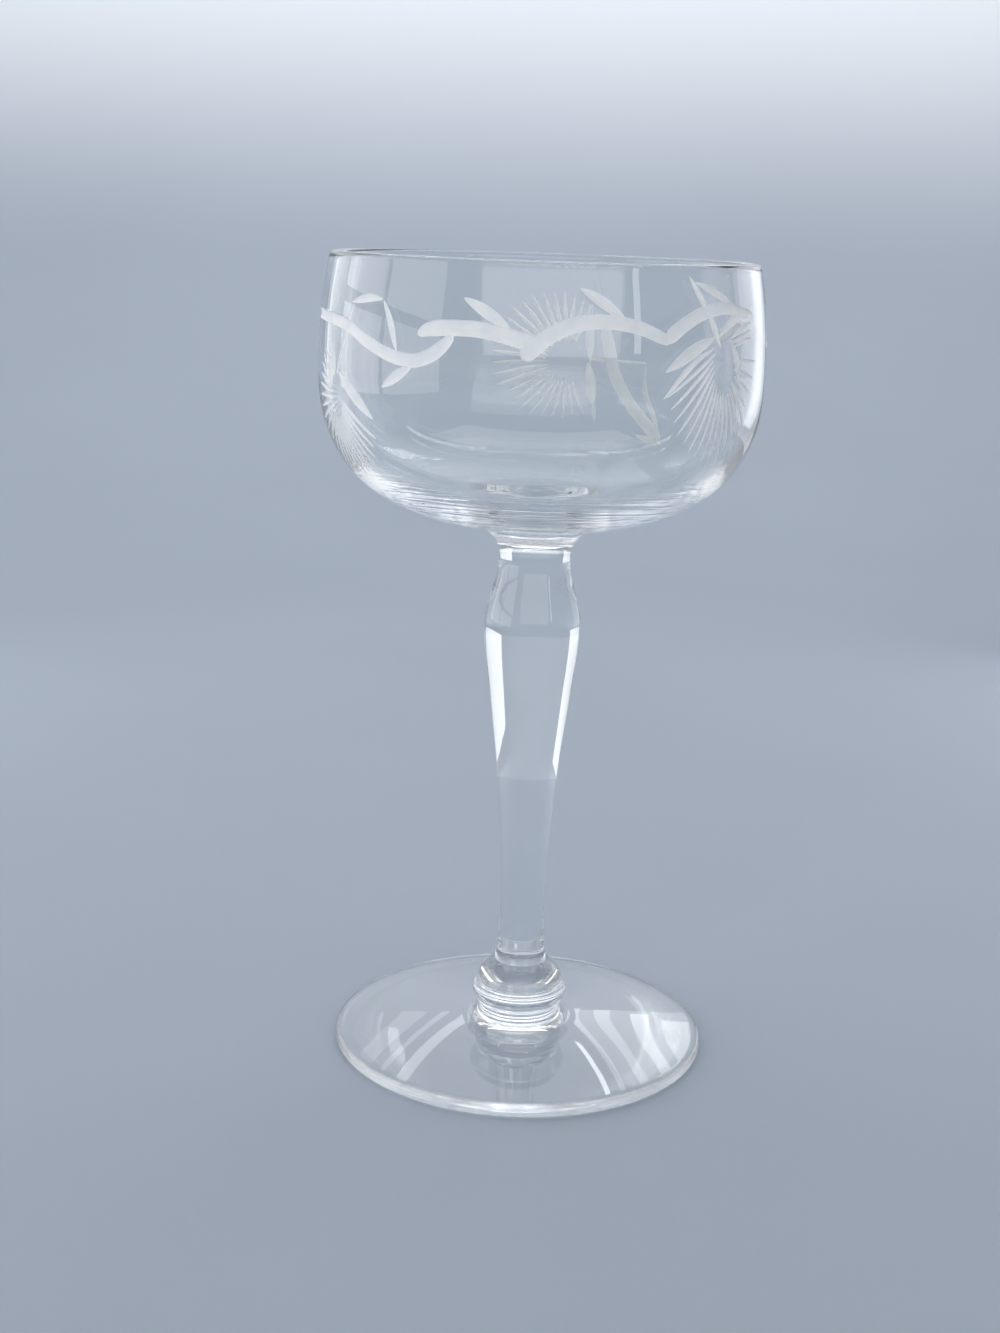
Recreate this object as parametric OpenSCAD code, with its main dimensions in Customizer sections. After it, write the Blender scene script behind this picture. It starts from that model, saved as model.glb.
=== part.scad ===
// Footed coupe glass of clear fused glass.
// Frame: +Z up, origin at the middle of the foot's underside, on the table.
// Every piece is a solid of revolution, and each one sits on the piece below it
// at a flat fused seam.

/* [Foot] */
// Diameter of the foot
foot_d = 71.4; // [60:0.2:90]
// Height of the foot's outer edge
foot_edge_h = 2.2; // [1.4:0.1:3.5]
// Radius of the rounding at the top and bottom of the edge
foot_edge_round = 0.8; // [0.3:0.1:1]
// Height of the foot from the table to the seam under the collar
foot_h = 7.6; // [7:0.1:10]
// Radius of the boss in the middle of the foot
foot_boss_r = 10.6; // [9.5:0.1:14]
// Height of the boss above the table at that radius
foot_boss_h = 4.4; // [4:0.1:5.5]
// Width of the flat ring that the foot stands on
foot_rest_w = 3.4; // [2:0.1:6]
// Depth of the hollow under the foot
foot_hollow_h = 1.3; // [0.5:0.1:2]

/* [Collar] */
// Largest radius of the collar
collar_r = 9.05; // [8.7:0.05:12]
// Radius of the seam between the foot and the collar
collar_seat_r = 7.6; // [6.5:0.1:8.4]
// Height of the collar between its two seams
collar_h = 3.8; // [2.5:0.1:6]

/* [Knop] */
// Largest radius of the knop
knop_r = 8.25; // [7:0.05:8.6]
// Height of the knop between its two seams
knop_h = 4.8; // [4:0.1:7]
// Height above the collar at which the knop is widest
knop_wide_h = 0.4; // [0.3:0.1:1]
// Radius of the seam between the collar and the knop
knop_seat_r = 8.1; // [6.8:0.05:8.3]

/* [Stem] */
// Height of the stem between its two seams
stem_h = 78.8; // [75:0.2:100]
// Radius of the stem's lower end, on the knop
stem_end_r = 5; // [4.6:0.05:6]
// Height of the welded flare at the stem's lower end
stem_flare_h = 3; // [2:0.1:5]
// Radius just above the flare
stem_ankle_r = 4.5; // [4.2:0.05:5.2]
// Smallest radius of the stem
stem_waist_r = 4.28; // [3.6:0.02:4.5]
// Height of the waist above the stem's lower end
stem_waist_h = 11; // [9:0.5:16]
// Radius of the stem low on its taper
stem_calf_r = 5.55; // [5:0.05:6]
// Height at which that radius is taken
stem_calf_h = 34.8; // [28:0.2:38]
// Radius of the stem high on its taper
stem_thigh_r = 7.6; // [6.8:0.05:8.2]
// Height at which that radius is taken
stem_thigh_h = 52.8; // [46:0.2:56]
// Largest radius, at the swelling under the neck
stem_swell_r = 9.04; // [8.4:0.02:11]
// Height of the swelling above the stem's lower end
stem_swell_h = 66.8; // [60:0.2:69]

/* [Bowl] */
// Radius of the neck at the seam between the stem and the bowl
neck_r = 6.7; // [6:0.05:7.6]
// Height of the neck's straight part above that seam
neck_h = 0.6; // [0.2:0.1:1.5]
// Radius at which the neck's curve runs into the underside of the bowl
neck_blend_r = 15; // [13:0.5:18]
// Height of the bowl from its seam to the rim
bowl_h = 55; // [48:0.5:70]
// Height above the seam of the lowest point of the bowl's belly curve
belly_floor_h = 6.4; // [5:0.1:8]
// Largest outer radius of the bowl
bowl_max_r = 40.3; // [38:0.1:48]
// Height above the seam at which the bowl is widest
bowl_wide_h = 36; // [30:0.2:40]
// Outer radius of the bowl at its rim
rim_r = 38.5; // [37:0.1:46]
// Thickness of the bowl's wall
wall = 1.8; // [1.2:0.1:2.4]
// Thickness of the glass under the inside of the bowl, at the axis
base_t = 3.3; // [2.4:0.1:5]

/* [Hidden] */
$fn = 96;
// How full the belly curve is: 2 is an ellipse, and more is squarer
belly_power = 2.6;
// How straight the bowl's side is above its widest place
side_power = 2;
// Steps along each curve
belly_steps = 18;
side_steps = 8;
blend_steps = 8;
lip_steps = 8;
stem_steps = 7;
round_steps = 5;
collar_steps = 12;
knop_steps = 10;
hollow_steps = 8;

// Heights of the seams above the table
collar_z = foot_h;
knop_z = collar_z + collar_h;
stem_z = knop_z + knop_h;
bowl_z = stem_z + stem_h;
rim_z = bowl_z + bowl_h;

// Outer and inner measures that follow from the driving sizes
foot_r = foot_d / 2;
wide_z = bowl_z + bowl_wide_h;
belly_drop = bowl_wide_h - belly_floor_h;
inner_drop = belly_drop - base_t;
lip_r = wall / 2;
lip_z = rim_z - lip_r;

GLASS = [0.80, 0.90, 0.92, 0.55];
CUT_GLASS = [0.86, 0.93, 0.95, 0.55];
SEAM_GLASS = [0.70, 0.83, 0.87, 0.60];

// A point part of the way along a curve bent towards a corner
function bend(a, corner, b, t) =
    a * pow(1 - t, 2) + corner * 2 * t * (1 - t) + b * pow(t, 2);

// A smooth value between a and b, with slopes sa and sb over the length h
function ease(a, b, sa, sb, h, t) =
    a * (1 + 2 * t) * pow(1 - t, 2) + sa * h * t * pow(1 - t, 2)
    + b * pow(t, 2) * (3 - 2 * t) - sb * h * pow(t, 2) * (1 - t);

// Points of a smooth stretch of the stem, from one station to the next.
// A station is [height, radius, slope].
function stretch(lower, upper) = [
    for (i = [0 : stem_steps - 1])
        let (t = i / stem_steps, h = upper[0] - lower[0])
        [ease(lower[1], upper[1], lower[2], upper[2], h, t), lower[0] + h * t]
];

// Slope of the stem at a station, from the stations on either side of it
function slope(below, above) = (above[1] - below[1]) / (above[0] - below[0]);

// The bowl's belly, from the axis side to the widest place
function belly(r_max, drop, from_r) =
    let (start = acos(pow(from_r / r_max, belly_power / 2)))
    [
        for (i = [0 : belly_steps])
            let (a = start * (1 - i / belly_steps))
            [
                r_max * pow(cos(a), 2 / belly_power),
                wide_z - drop * pow(sin(a), 2 / belly_power)
            ]
    ];

// The bowl's side above the widest place, up to the lip
function side(r_max, r_top) = [
    for (i = [1 : side_steps])
        let (t = i / side_steps)
        [r_max - (r_max - r_top) * pow(t, side_power), wide_z + (lip_z - wide_z) * t]
];

// A rounded edge: an arc about [r, z] from one angle to another
function edge_arc(r, z, radius, from_a, to_a, steps) = [
    for (i = [0 : steps])
        let (a = from_a + (to_a - from_a) * i / steps)
        [r + radius * cos(a), z + radius * sin(a)]
];

// Points of a list in the other order
function flip(list) = [for (i = [len(list) - 1 : -1 : 0]) list[i]];

// The cup with its thick base, its melted rim and the neck under it
module bowl() {
    outer_belly = belly(bowl_max_r, belly_drop, neck_blend_r);
    inner_belly = belly(bowl_max_r - wall, inner_drop, 0);
    neck_top = [neck_r, bowl_z + neck_h];
    neck_corner = [neck_r, wide_z - belly_drop];
    color(CUT_GLASS)
    rotate_extrude()
    polygon(concat(
        [[0, bowl_z], [neck_r, bowl_z]],
        [
            for (i = [0 : blend_steps - 1])
                bend(neck_top, neck_corner, outer_belly[0], i / blend_steps)
        ],
        outer_belly,
        side(bowl_max_r, rim_r),
        edge_arc(rim_r - lip_r, lip_z, lip_r, 180 / lip_steps, 180 - 180 / lip_steps, lip_steps - 2),
        flip(side(bowl_max_r - wall, rim_r - wall)),
        flip(inner_belly)
    ));
}

// The solid stem: flare, ankle, waist, taper, swelling and neck
module stem() {
    flare = [0, stem_end_r, 0];
    ankle_place = [stem_flare_h, stem_ankle_r];
    waist = [stem_waist_h, stem_waist_r, 0];
    calf_place = [stem_calf_h, stem_calf_r];
    thigh_place = [stem_thigh_h, stem_thigh_r];
    swell = [stem_swell_h, stem_swell_r, 0];
    top = [stem_h, neck_r, 0];
    ankle = [ankle_place[0], ankle_place[1], slope(ankle_place, waist)];
    calf = [calf_place[0], calf_place[1], slope(waist, thigh_place)];
    thigh = [thigh_place[0], thigh_place[1], slope(calf_place, swell)];
    color(GLASS)
    translate([0, 0, stem_z])
    rotate_extrude()
    polygon(concat(
        [[0, 0]],
        stretch(flare, ankle),
        stretch(ankle, waist),
        stretch(waist, calf),
        stretch(calf, thigh),
        stretch(thigh, swell),
        stretch(swell, top),
        [[neck_r, stem_h], [0, stem_h]]
    ));
}

// The half-round ball between the stem and the collar
module knop() {
    // Rise that brings the dome to the stem's radius at the upper seam
    dome_h = (knop_h - knop_wide_h) / sqrt(1 - pow(stem_end_r / knop_r, 2));
    top_a = acos(stem_end_r / knop_r);
    // Drop of the lower curve, which reaches the seat's radius at the lower seam
    seat_h = knop_wide_h / sqrt(1 - pow(knop_seat_r / knop_r, 2));
    seat_a = acos(knop_seat_r / knop_r);
    color(GLASS)
    translate([0, 0, knop_z])
    rotate_extrude()
    polygon(concat(
        [[0, 0]],
        [
            for (i = [0 : round_steps - 1])
                let (a = seat_a * (1 - i / round_steps))
                [knop_r * cos(a), knop_wide_h - seat_h * sin(a)]
        ],
        [
            for (i = [0 : knop_steps])
                let (a = top_a * i / knop_steps)
                [knop_r * cos(a), knop_wide_h + dome_h * sin(a)]
        ],
        [[0, knop_h]]
    ));
}

// The flat ring under the knop
module collar() {
    color(SEAM_GLASS)
    translate([0, 0, collar_z])
    rotate_extrude()
    polygon(concat(
        [[0, 0]],
        [
            for (i = [0 : collar_steps])
                let (
                    a = 180 * i / collar_steps,
                    t = (1 - cos(a)) / 2,
                    seam_r = collar_seat_r + (knop_seat_r - collar_seat_r) * t,
                    mid_r = (collar_seat_r + knop_seat_r) / 2
                )
                [seam_r + (collar_r - mid_r) * sin(a), collar_h * t]
        ],
        [[0, collar_h]]
    ));
}

// The disc, with its low cone, its boss and the hollow under it
module foot() {
    round_r = foot_r - foot_edge_round;
    rest_r = round_r - foot_rest_w;
    boss_edge = [foot_boss_r, foot_boss_h];
    seam_edge = [collar_seat_r, foot_h];
    boss_corner = [collar_seat_r, foot_boss_h];
    color(GLASS)
    rotate_extrude()
    polygon(concat(
        [
            for (i = [0 : hollow_steps])
                let (a = 90 * i / hollow_steps)
                [rest_r * sin(a), foot_hollow_h * pow(cos(a), 2)]
        ],
        edge_arc(round_r, foot_edge_round, foot_edge_round, -90, 0, round_steps),
        edge_arc(round_r, foot_edge_h - foot_edge_round, foot_edge_round, 0, 80, round_steps),
        [for (i = [0 : blend_steps]) bend(boss_edge, boss_corner, seam_edge, i / blend_steps)],
        [[0, foot_h]]
    ));
}

bowl();
stem();
knop();
collar();
foot();
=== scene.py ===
"""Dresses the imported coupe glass: turned pieces of clear glass, a wheel-cut garland round the bowl,
and a pale studio with the camera of the photograph."""

import logging
import math
from dataclasses import dataclass
from enum import Enum
from typing import Sequence

import bpy
import numpy as np
from mathutils import Matrix, Quaternion, Vector


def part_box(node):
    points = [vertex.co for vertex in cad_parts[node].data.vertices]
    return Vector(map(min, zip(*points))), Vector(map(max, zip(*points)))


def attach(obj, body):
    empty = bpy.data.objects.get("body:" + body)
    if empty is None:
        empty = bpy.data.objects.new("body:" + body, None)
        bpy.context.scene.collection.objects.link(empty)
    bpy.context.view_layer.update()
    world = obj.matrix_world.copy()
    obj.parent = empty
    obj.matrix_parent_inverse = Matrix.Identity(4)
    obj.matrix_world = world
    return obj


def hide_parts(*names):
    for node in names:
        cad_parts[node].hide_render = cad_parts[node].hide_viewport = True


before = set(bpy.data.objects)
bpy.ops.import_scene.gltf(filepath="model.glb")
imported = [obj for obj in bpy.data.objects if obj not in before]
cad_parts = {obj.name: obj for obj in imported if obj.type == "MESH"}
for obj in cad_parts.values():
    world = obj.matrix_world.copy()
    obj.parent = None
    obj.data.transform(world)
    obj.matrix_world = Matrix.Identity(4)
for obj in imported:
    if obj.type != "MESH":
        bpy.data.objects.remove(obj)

LOG = logging.getLogger("coupe")
BODY = "root"
MM = 0.001
# Photograph's size in pixels, for the lens and the shift
PHOTO_W, PHOTO_H = 1000, 1333
# Facets round each turned piece
FACETS = 288
# A turn of the outline sharper than this, in degrees, is an edge
EDGE_TURN = 22.0
# Refractive index of plain crown glass
CROWN_IOR = 1.52
# Lengths under this, in millimetres, count as none
NOTHING = 1e-6

Point = tuple[float, float]
Place = tuple[float, float, float]
Paint = tuple[float, float, float]
Colour = tuple[float, float, float, float]


class Skin(Enum):
    """Finish of a face, by its material slot on the piece."""

    POLISHED = 0
    SEAM = 1
    GROUND = 2


# Node helpers


class Tree:
    """Short way to add and join the nodes of one material or node group."""

    def __init__(self, tree: bpy.types.NodeTree) -> None:
        """Keeps the tree that the nodes go into."""
        self.tree = tree

    def add(self, kind: str, **settings: object) -> bpy.types.Node:
        """Adds a node.

        Args:
            kind: Node type without the leading "ShaderNode".
            **settings: Attributes of the node to set.

        Returns:
            The new node.
        """
        node = self.tree.nodes.new("ShaderNode" + kind)
        for name, value in settings.items():
            setattr(node, name, value)
        return node

    def join(self, source: bpy.types.NodeSocket, target: bpy.types.NodeSocket) -> None:
        """Links an output to an input."""
        self.tree.links.new(source, target)

    def feed(self, slot: bpy.types.NodeSocket, value: object) -> None:
        """Links an output to an input, or writes a plain value on it.

        Args:
            slot: Input that takes it.
            value: Output socket, or a plain value.
        """
        if isinstance(value, bpy.types.NodeSocket):
            self.join(value, slot)
        else:
            slot.default_value = value

    def place(self) -> bpy.types.NodeSocket:
        """Adds the position on the piece, in metres."""
        return self.add("TexCoord").outputs["Object"]

    def split(self, place: bpy.types.NodeSocket) -> tuple[bpy.types.NodeSocket, ...]:
        """Splits a position into its parts.

        Args:
            place: Output that gives the position.

        Returns:
            Outputs for X, Y and Z.
        """
        node = self.add("SeparateXYZ")
        self.join(place, node.inputs[0])
        return tuple(node.outputs)

    def combine(self, *parts: bpy.types.NodeSocket) -> bpy.types.NodeSocket:
        """Makes a position from its parts.

        Args:
            *parts: Outputs for X, Y and Z.

        Returns:
            Output that gives the position.
        """
        node = self.add("CombineXYZ")
        for slot, part in zip(node.inputs, parts):
            self.join(part, slot)
        return node.outputs[0]

    def maths(self, operation: str, *values: object) -> bpy.types.NodeSocket:
        """Adds a Math node.

        Args:
            operation: Name of the operation.
            *values: Numbers or output sockets, in the order of the inputs.

        Returns:
            The node's output.
        """
        node = self.add("Math", operation=operation)
        for slot, value in zip(node.inputs, values):
            self.feed(slot, value)
        return node.outputs[0]

    def noise(self, place: bpy.types.NodeSocket, scale: object, detail: float = 2.0,
              rough: float = 0.5) -> bpy.types.NodeSocket:
        """Adds a noise texture.

        Args:
            place: Output that gives the position.
            scale: Scale, as a number or an output socket.
            detail: Number of octaves.
            rough: Weight of the finer octaves.

        Returns:
            The noise value, from 0 to 1.
        """
        node = self.add("TexNoise")
        given = {"Vector": place, "Scale": scale, "Detail": detail, "Roughness": rough}
        for name, value in given.items():
            self.feed(node.inputs[name], value)
        return node.outputs["Fac"]

    def remap(self, value: bpy.types.NodeSocket, low: object, high: object,
              to_low: float = 0.0, to_high: float = 1.0) -> bpy.types.NodeSocket:
        """Maps a value smoothly from one range to another.

        Args:
            value: Output to map.
            low: Value that gives to_low, as a number or an output socket.
            high: Value that gives to_high.
            to_low: Result at low.
            to_high: Result at high.

        Returns:
            The mapped value.
        """
        node = self.add("MapRange", interpolation_type="SMOOTHSTEP")
        names = ("Value", "From Min", "From Max", "To Min", "To Max")
        for name, given in zip(names, (value, low, high, to_low, to_high)):
            self.feed(node.inputs[name], given)
        return node.outputs["Result"]

    def blend(self, share: bpy.types.NodeSocket, first: object,
              second: object) -> bpy.types.NodeSocket:
        """Mixes two colours.

        Args:
            share: Share of the second colour.
            first: Colour as four numbers, or an output socket.
            second: Colour as four numbers, or an output socket.

        Returns:
            The mixed colour.
        """
        node = self.add("Mix", data_type="RGBA")
        # Slots 6 and 7 take the colours, and output 2 gives one
        for slot, value in ((0, share), (6, first), (7, second)):
            self.feed(node.inputs[slot], value)
        return node.outputs[2]

    def bump(self, height: bpy.types.NodeSocket, depth: float,
             strength: float = 1.0) -> bpy.types.NodeSocket:
        """Turns a height into a normal.

        Args:
            height: Height, from 0 to 1.
            depth: Depth of a height of 1, in metres.
            strength: Share of the effect.

        Returns:
            The normal.
        """
        node = self.add("Bump")
        for name, value in (("Height", height), ("Distance", depth), ("Strength", strength)):
            self.feed(node.inputs[name], value)
        return node.outputs["Normal"]


GroupParts = tuple[bpy.types.NodeTree, Tree, bpy.types.Node, bpy.types.Node]


def new_group(name: str, inputs: Sequence[tuple[str, float]], outputs: Sequence[str]) -> GroupParts:
    """Starts a shader node group with plain number sockets.

    Args:
        name: Name of the group.
        inputs: Name and default of each number that the group takes.
        outputs: Name of each number that the group gives.

    Returns:
        The group, its Tree, its input node and its output node.
    """
    group = bpy.data.node_groups.new(name, "ShaderNodeTree")
    for label, value in inputs:
        socket = group.interface.new_socket(label, in_out="INPUT", socket_type="NodeSocketFloat")
        socket.default_value = value
    for label in outputs:
        group.interface.new_socket(label, in_out="OUTPUT", socket_type="NodeSocketFloat")
    tree = Tree(group)
    return group, tree, group.nodes.new("NodeGroupInput"), group.nodes.new("NodeGroupOutput")


class SurfaceEffects:
    """Node groups that the finishes share: blown ripple, handling marks and ground grain.

    Attributes:
        RING_TURN: How much the tool rings change round the axis, where 1 is as much as along it.
        NECK_RINGS: Fine neck rings per metre.
        SMUDGES: Smudges per metre.
        DUST: Specks of dust per metre.
        DUSTY: Dusty places per metre.
        SCRATCHES: Scratches per metre, in the worn ring.
    """

    RING_TURN = 0.02
    NECK_RINGS = 900.0
    SMUDGES = 55.0
    DUST = 210.0
    DUSTY = 38.0
    SCRATCHES = 1400.0

    def __init__(self) -> None:
        """Builds each group once."""
        self.ripple = self._ripple()
        self.marks = self._marks()
        self.grain = self._grain()

    def _ripple(self) -> bpy.types.NodeTree:
        """Builds the faint waves of hand-shaped glass, with rings left by the tools.

        Returns:
            The node group. Its finer neck rings fade out between the two neck heights.
        """
        group, tree, given, result = new_group(
            "blown_ripple",
            [("Wave Scale", 70.0), ("Ring Scale", 300.0), ("Ring Share", 0.2),
             ("Neck Rings", 0.0), ("Neck Low", 0.104), ("Neck High", 0.117)],
            ["Height"],
        )
        octaves, rough = 1.0, 0.4
        place = tree.place()
        wave = tree.noise(place, given.outputs["Wave Scale"], octaves, rough)
        x, y, z = tree.split(place)
        flat, deep = (tree.maths("MULTIPLY", side, self.RING_TURN) for side in (x, y))
        rings = tree.noise(tree.combine(flat, deep, z), given.outputs["Ring Scale"], octaves, rough)
        rings = tree.maths("MULTIPLY", rings, given.outputs["Ring Share"])
        squares = [tree.maths("MULTIPLY", side, side) for side in (x, y)]
        run = tree.maths("ADD", tree.maths("SQRT", tree.maths("ADD", *squares)), z)
        fine = tree.noise(tree.combine(flat, deep, run), self.NECK_RINGS, octaves, rough)
        near = tree.remap(z, given.outputs["Neck High"], given.outputs["Neck Low"])
        fine = tree.maths("MULTIPLY", tree.maths("MULTIPLY", fine, near),
                          given.outputs["Neck Rings"])
        total = tree.maths("ADD", tree.maths("ADD", wave, rings), fine)
        tree.join(total, result.inputs["Height"])
        return group

    def _marks(self) -> bpy.types.NodeTree:
        """Builds smudges, specks of dust and a worn band near the table, as one roughness.

        Returns:
            The node group.
        """
        group, tree, given, result = new_group(
            "handling_marks",
            [("Smudge", 0.02), ("Specks", 0.5), ("Wear", 0.3), ("Wear Height", 0.0004)],
            ["Roughness"],
        )
        place = tree.place()
        smudge = tree.remap(tree.noise(place, self.SMUDGES, 3.0, 0.6), 0.55, 0.75)
        smudge = tree.maths("MULTIPLY", smudge, given.outputs["Smudge"])
        cells = tree.add("TexVoronoi", feature="F1")
        tree.join(place, cells.inputs["Vector"])
        cells.inputs["Scale"].default_value = self.DUST
        rare = tree.remap(tree.noise(place, self.DUSTY, 2.0), 0.55, 0.7)
        speck = tree.remap(cells.outputs["Distance"], 0.06, 0.03)
        speck = tree.maths("MULTIPLY", tree.maths("MULTIPLY", speck, rare), given.outputs["Specks"])
        low = tree.remap(tree.split(place)[2], given.outputs["Wear Height"], 0.0)
        scratch = tree.remap(tree.noise(place, self.SCRATCHES, 4.0, 0.7), 0.35, 0.65, 0.4, 1.0)
        wear = tree.maths("MULTIPLY", tree.maths("MULTIPLY", low, scratch), given.outputs["Wear"])
        total = tree.maths("ADD", tree.maths("ADD", smudge, speck), wear)
        tree.join(total, result.inputs["Roughness"])
        return group

    def _grain(self) -> bpy.types.NodeTree:
        """Builds the fine pits that a stone wheel leaves in glass.

        Returns:
            The node group. It also gives a soft cloud that tells finer places from coarser ones.
        """
        group, tree, given, result = new_group(
            "ground_grain", [("Pit Scale", 9000.0), ("Cloud Scale", 420.0)], ["Height", "Cloud"]
        )
        place = tree.place()
        tree.join(tree.noise(place, given.outputs["Pit Scale"], 2.0, 0.6), result.inputs["Height"])
        cloud = tree.noise(place, given.outputs["Cloud Scale"], 3.0, 0.55)
        tree.join(tree.remap(cloud, 0.3, 0.7), result.inputs["Cloud"])
        return group


def place_group(tree: Tree, group: bpy.types.NodeTree, **values: float) -> bpy.types.Node:
    """Places a node group in a material with its own values.

    Args:
        tree: Material's tree.
        group: Node group to place.
        **values: Input values, with underscores for the spaces in the names.

    Returns:
        The group node.
    """
    node = tree.add("Group")
    node.node_tree = group
    for name, value in values.items():
        node.inputs[name.replace("_", " ")].default_value = value
    return node


def new_material(name: str) -> tuple[bpy.types.Material, Tree, bpy.types.Node]:
    """Starts a node material.

    Args:
        name: Name of the material.

    Returns:
        The material, its Tree and its Principled node.
    """
    material = bpy.data.materials.new(name)
    material.use_nodes = True
    tree = Tree(material.node_tree)
    return material, tree, material.node_tree.nodes["Principled BSDF"]


# Finishes


@dataclass(frozen=True)
class PolishedGlass:
    """Clear fire-polished glass.

    Attributes:
        name: Name of the material.
        tint: Colour of clean glass.
        deep_tint: Colour where the melt is a little greener.
        melt_scale: Size of those places, as places per metre.
        ior: Refractive index.
        wave_scale: Size of the slow waves, as waves per metre.
        ring_scale: Size of the tool rings, as rings per metre.
        ring_share: Strength of the rings beside the waves.
        neck_rings: Strength of the fine rings round the neck.
        ripple_depth: Depth of the ripple in metres.
        smudge: Roughness of the smudges.
        specks: Roughness of the dust specks.
        wear: Roughness of the ring that stands on the table.
    """

    name: str
    tint: Colour = (0.99, 0.997, 1.0, 1.0)
    deep_tint: Colour = (0.975, 0.992, 0.99, 1.0)
    melt_scale: float = 30.0
    ior: float = CROWN_IOR
    wave_scale: float = 70.0
    ring_scale: float = 300.0
    ring_share: float = 0.2
    neck_rings: float = 0.0
    ripple_depth: float = 0.00003
    smudge: float = 0.05
    specks: float = 0.6
    wear: float = 0.0

    def make(self, effects: SurfaceEffects) -> bpy.types.Material:
        """Builds the material.

        Args:
            effects: Shared node groups.

        Returns:
            The material.
        """
        material, tree, glass = new_material(self.name)
        glass.inputs["Transmission Weight"].default_value = 1.0
        glass.inputs["IOR"].default_value = self.ior
        melt = tree.remap(tree.noise(tree.place(), self.melt_scale), 0.35, 0.65)
        tree.join(tree.blend(melt, self.tint, self.deep_tint), glass.inputs["Base Color"])
        marks = place_group(tree, effects.marks, Smudge=self.smudge, Specks=self.specks,
                            Wear=self.wear)
        tree.join(marks.outputs["Roughness"], glass.inputs["Roughness"])
        ripple = place_group(tree, effects.ripple, Wave_Scale=self.wave_scale,
                             Ring_Scale=self.ring_scale, Ring_Share=self.ring_share,
                             Neck_Rings=self.neck_rings)
        tree.join(tree.bump(ripple.outputs["Height"], self.ripple_depth), glass.inputs["Normal"])
        return material


@dataclass(frozen=True)
class GroundGlass:
    """Grey unpolished cut, as a stone wheel leaves it.

    Attributes:
        name: Name of the material.
        pale: Colour of the finely ground places.
        dull: Colour of the coarser places.
        ior: Refractive index.
        through: Share of the light that passes.
        rough_low: Roughness of the smoothest places.
        rough_high: Roughness of the coarsest places.
        pit_depth: Depth of the pits in metres.
        pit_share: Share of the pits' effect.
    """

    name: str = "ground_glass"
    pale: Colour = (0.97, 0.98, 0.99, 1.0)
    dull: Colour = (0.88, 0.91, 0.93, 1.0)
    ior: float = CROWN_IOR
    through: float = 0.15
    rough_low: float = 0.5
    rough_high: float = 0.68
    pit_depth: float = 0.00003
    pit_share: float = 0.6

    def make(self, effects: SurfaceEffects) -> bpy.types.Material:
        """Builds the material.

        Args:
            effects: Shared node groups.

        Returns:
            The material.
        """
        material, tree, glass = new_material(self.name)
        glass.inputs["Transmission Weight"].default_value = self.through
        glass.inputs["IOR"].default_value = self.ior
        grain = place_group(tree, effects.grain)
        cloud = grain.outputs["Cloud"]
        tree.join(tree.blend(cloud, self.pale, self.dull), glass.inputs["Base Color"])
        rough = tree.remap(cloud, 0.0, 1.0, self.rough_low, self.rough_high)
        tree.join(rough, glass.inputs["Roughness"])
        pits = tree.bump(grain.outputs["Height"], self.pit_depth, self.pit_share)
        tree.join(pits, glass.inputs["Normal"])
        return material


@dataclass(frozen=True)
class FusedSeam:
    """Face inside a weld, where glass meets glass and nothing is seen.

    Attributes:
        name: Name of the material.
        colour: Colour of the glass, which shows only where a viewer can't see through.
        lighter: Brightness of its paler places beside it.
    """

    name: str = "fused_seam"
    colour: Colour = (0.95, 0.985, 0.99, 1.0)
    lighter: float = 1.02

    def make(self, effects: SurfaceEffects) -> bpy.types.Material:
        """Builds the material.

        Args:
            effects: Shared node groups.

        Returns:
            The material.
        """
        material, tree, glass = new_material(self.name)
        grain = place_group(tree, effects.grain)
        pale = tuple(min(1.0, value * self.lighter) for value in self.colour)
        melt = tree.blend(grain.outputs["Cloud"], self.colour, pale)
        tree.join(melt, glass.inputs["Base Color"])
        glass.inputs["Transmission Weight"].default_value = 1.0
        glass.inputs["Roughness"].default_value = 0.0
        glass.inputs["Alpha"].default_value = 0.0
        return material


# Turned pieces


@dataclass(frozen=True)
class Outline:
    """Half-section of a turned piece, from the axis at the bottom round to the axis at the top.

    Attributes:
        points: Radius and height of each point in millimetres.
        seams: Heights of the flat fused seams.
    """

    points: np.ndarray
    seams: tuple[float, ...]

    def faces(self) -> np.ndarray:
        """Works out the outward direction of each segment.

        Returns:
            The directions, as radius and height, one row each.
        """
        step = np.diff(self.points, axis=0)
        out = np.stack([step[:, 1], -step[:, 0]], axis=1)
        return out / np.linalg.norm(out, axis=1, keepdims=True)

    def directions(self) -> tuple[np.ndarray, np.ndarray]:
        """Works out the smooth outward directions at the two ends of each segment.

        Returns:
            Directions at the starts and at the ends. They differ from their neighbours' only
            at an edge.
        """
        out = self.faces()
        length = np.linalg.norm(np.diff(self.points, axis=0), axis=1)[:, None]
        starts, ends = out.copy(), out.copy()
        limit = math.cos(math.radians(EDGE_TURN))
        smooth = (out[:-1] * out[1:]).sum(1) > limit
        mean = out[:-1] * length[1:] + out[1:] * length[:-1]
        mean /= np.linalg.norm(mean, axis=1, keepdims=True)
        ends[:-1][smooth] = mean[smooth]
        starts[1:][smooth] = mean[smooth]
        for k in (0, len(out) - 1):
            if abs(out[k][1]) > limit:
                (starts if k == 0 else ends)[k] = (0.0, math.copysign(1.0, out[k][1]))
        return starts, ends

    def skins(self) -> np.ndarray:
        """Finds each segment's finish, which is a seam where it is flat at a seam's height.

        Returns:
            The material slot of each segment.
        """
        low, high = self.points[:-1], self.points[1:]
        flat = np.abs(low[:, 1] - high[:, 1]) < NOTHING
        seam = np.zeros(len(low), bool)
        for height in self.seams:
            seam |= flat & (np.abs(low[:, 1] - height) < NOTHING)
        return np.where(seam, Skin.SEAM.value, Skin.POLISHED.value)


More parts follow.
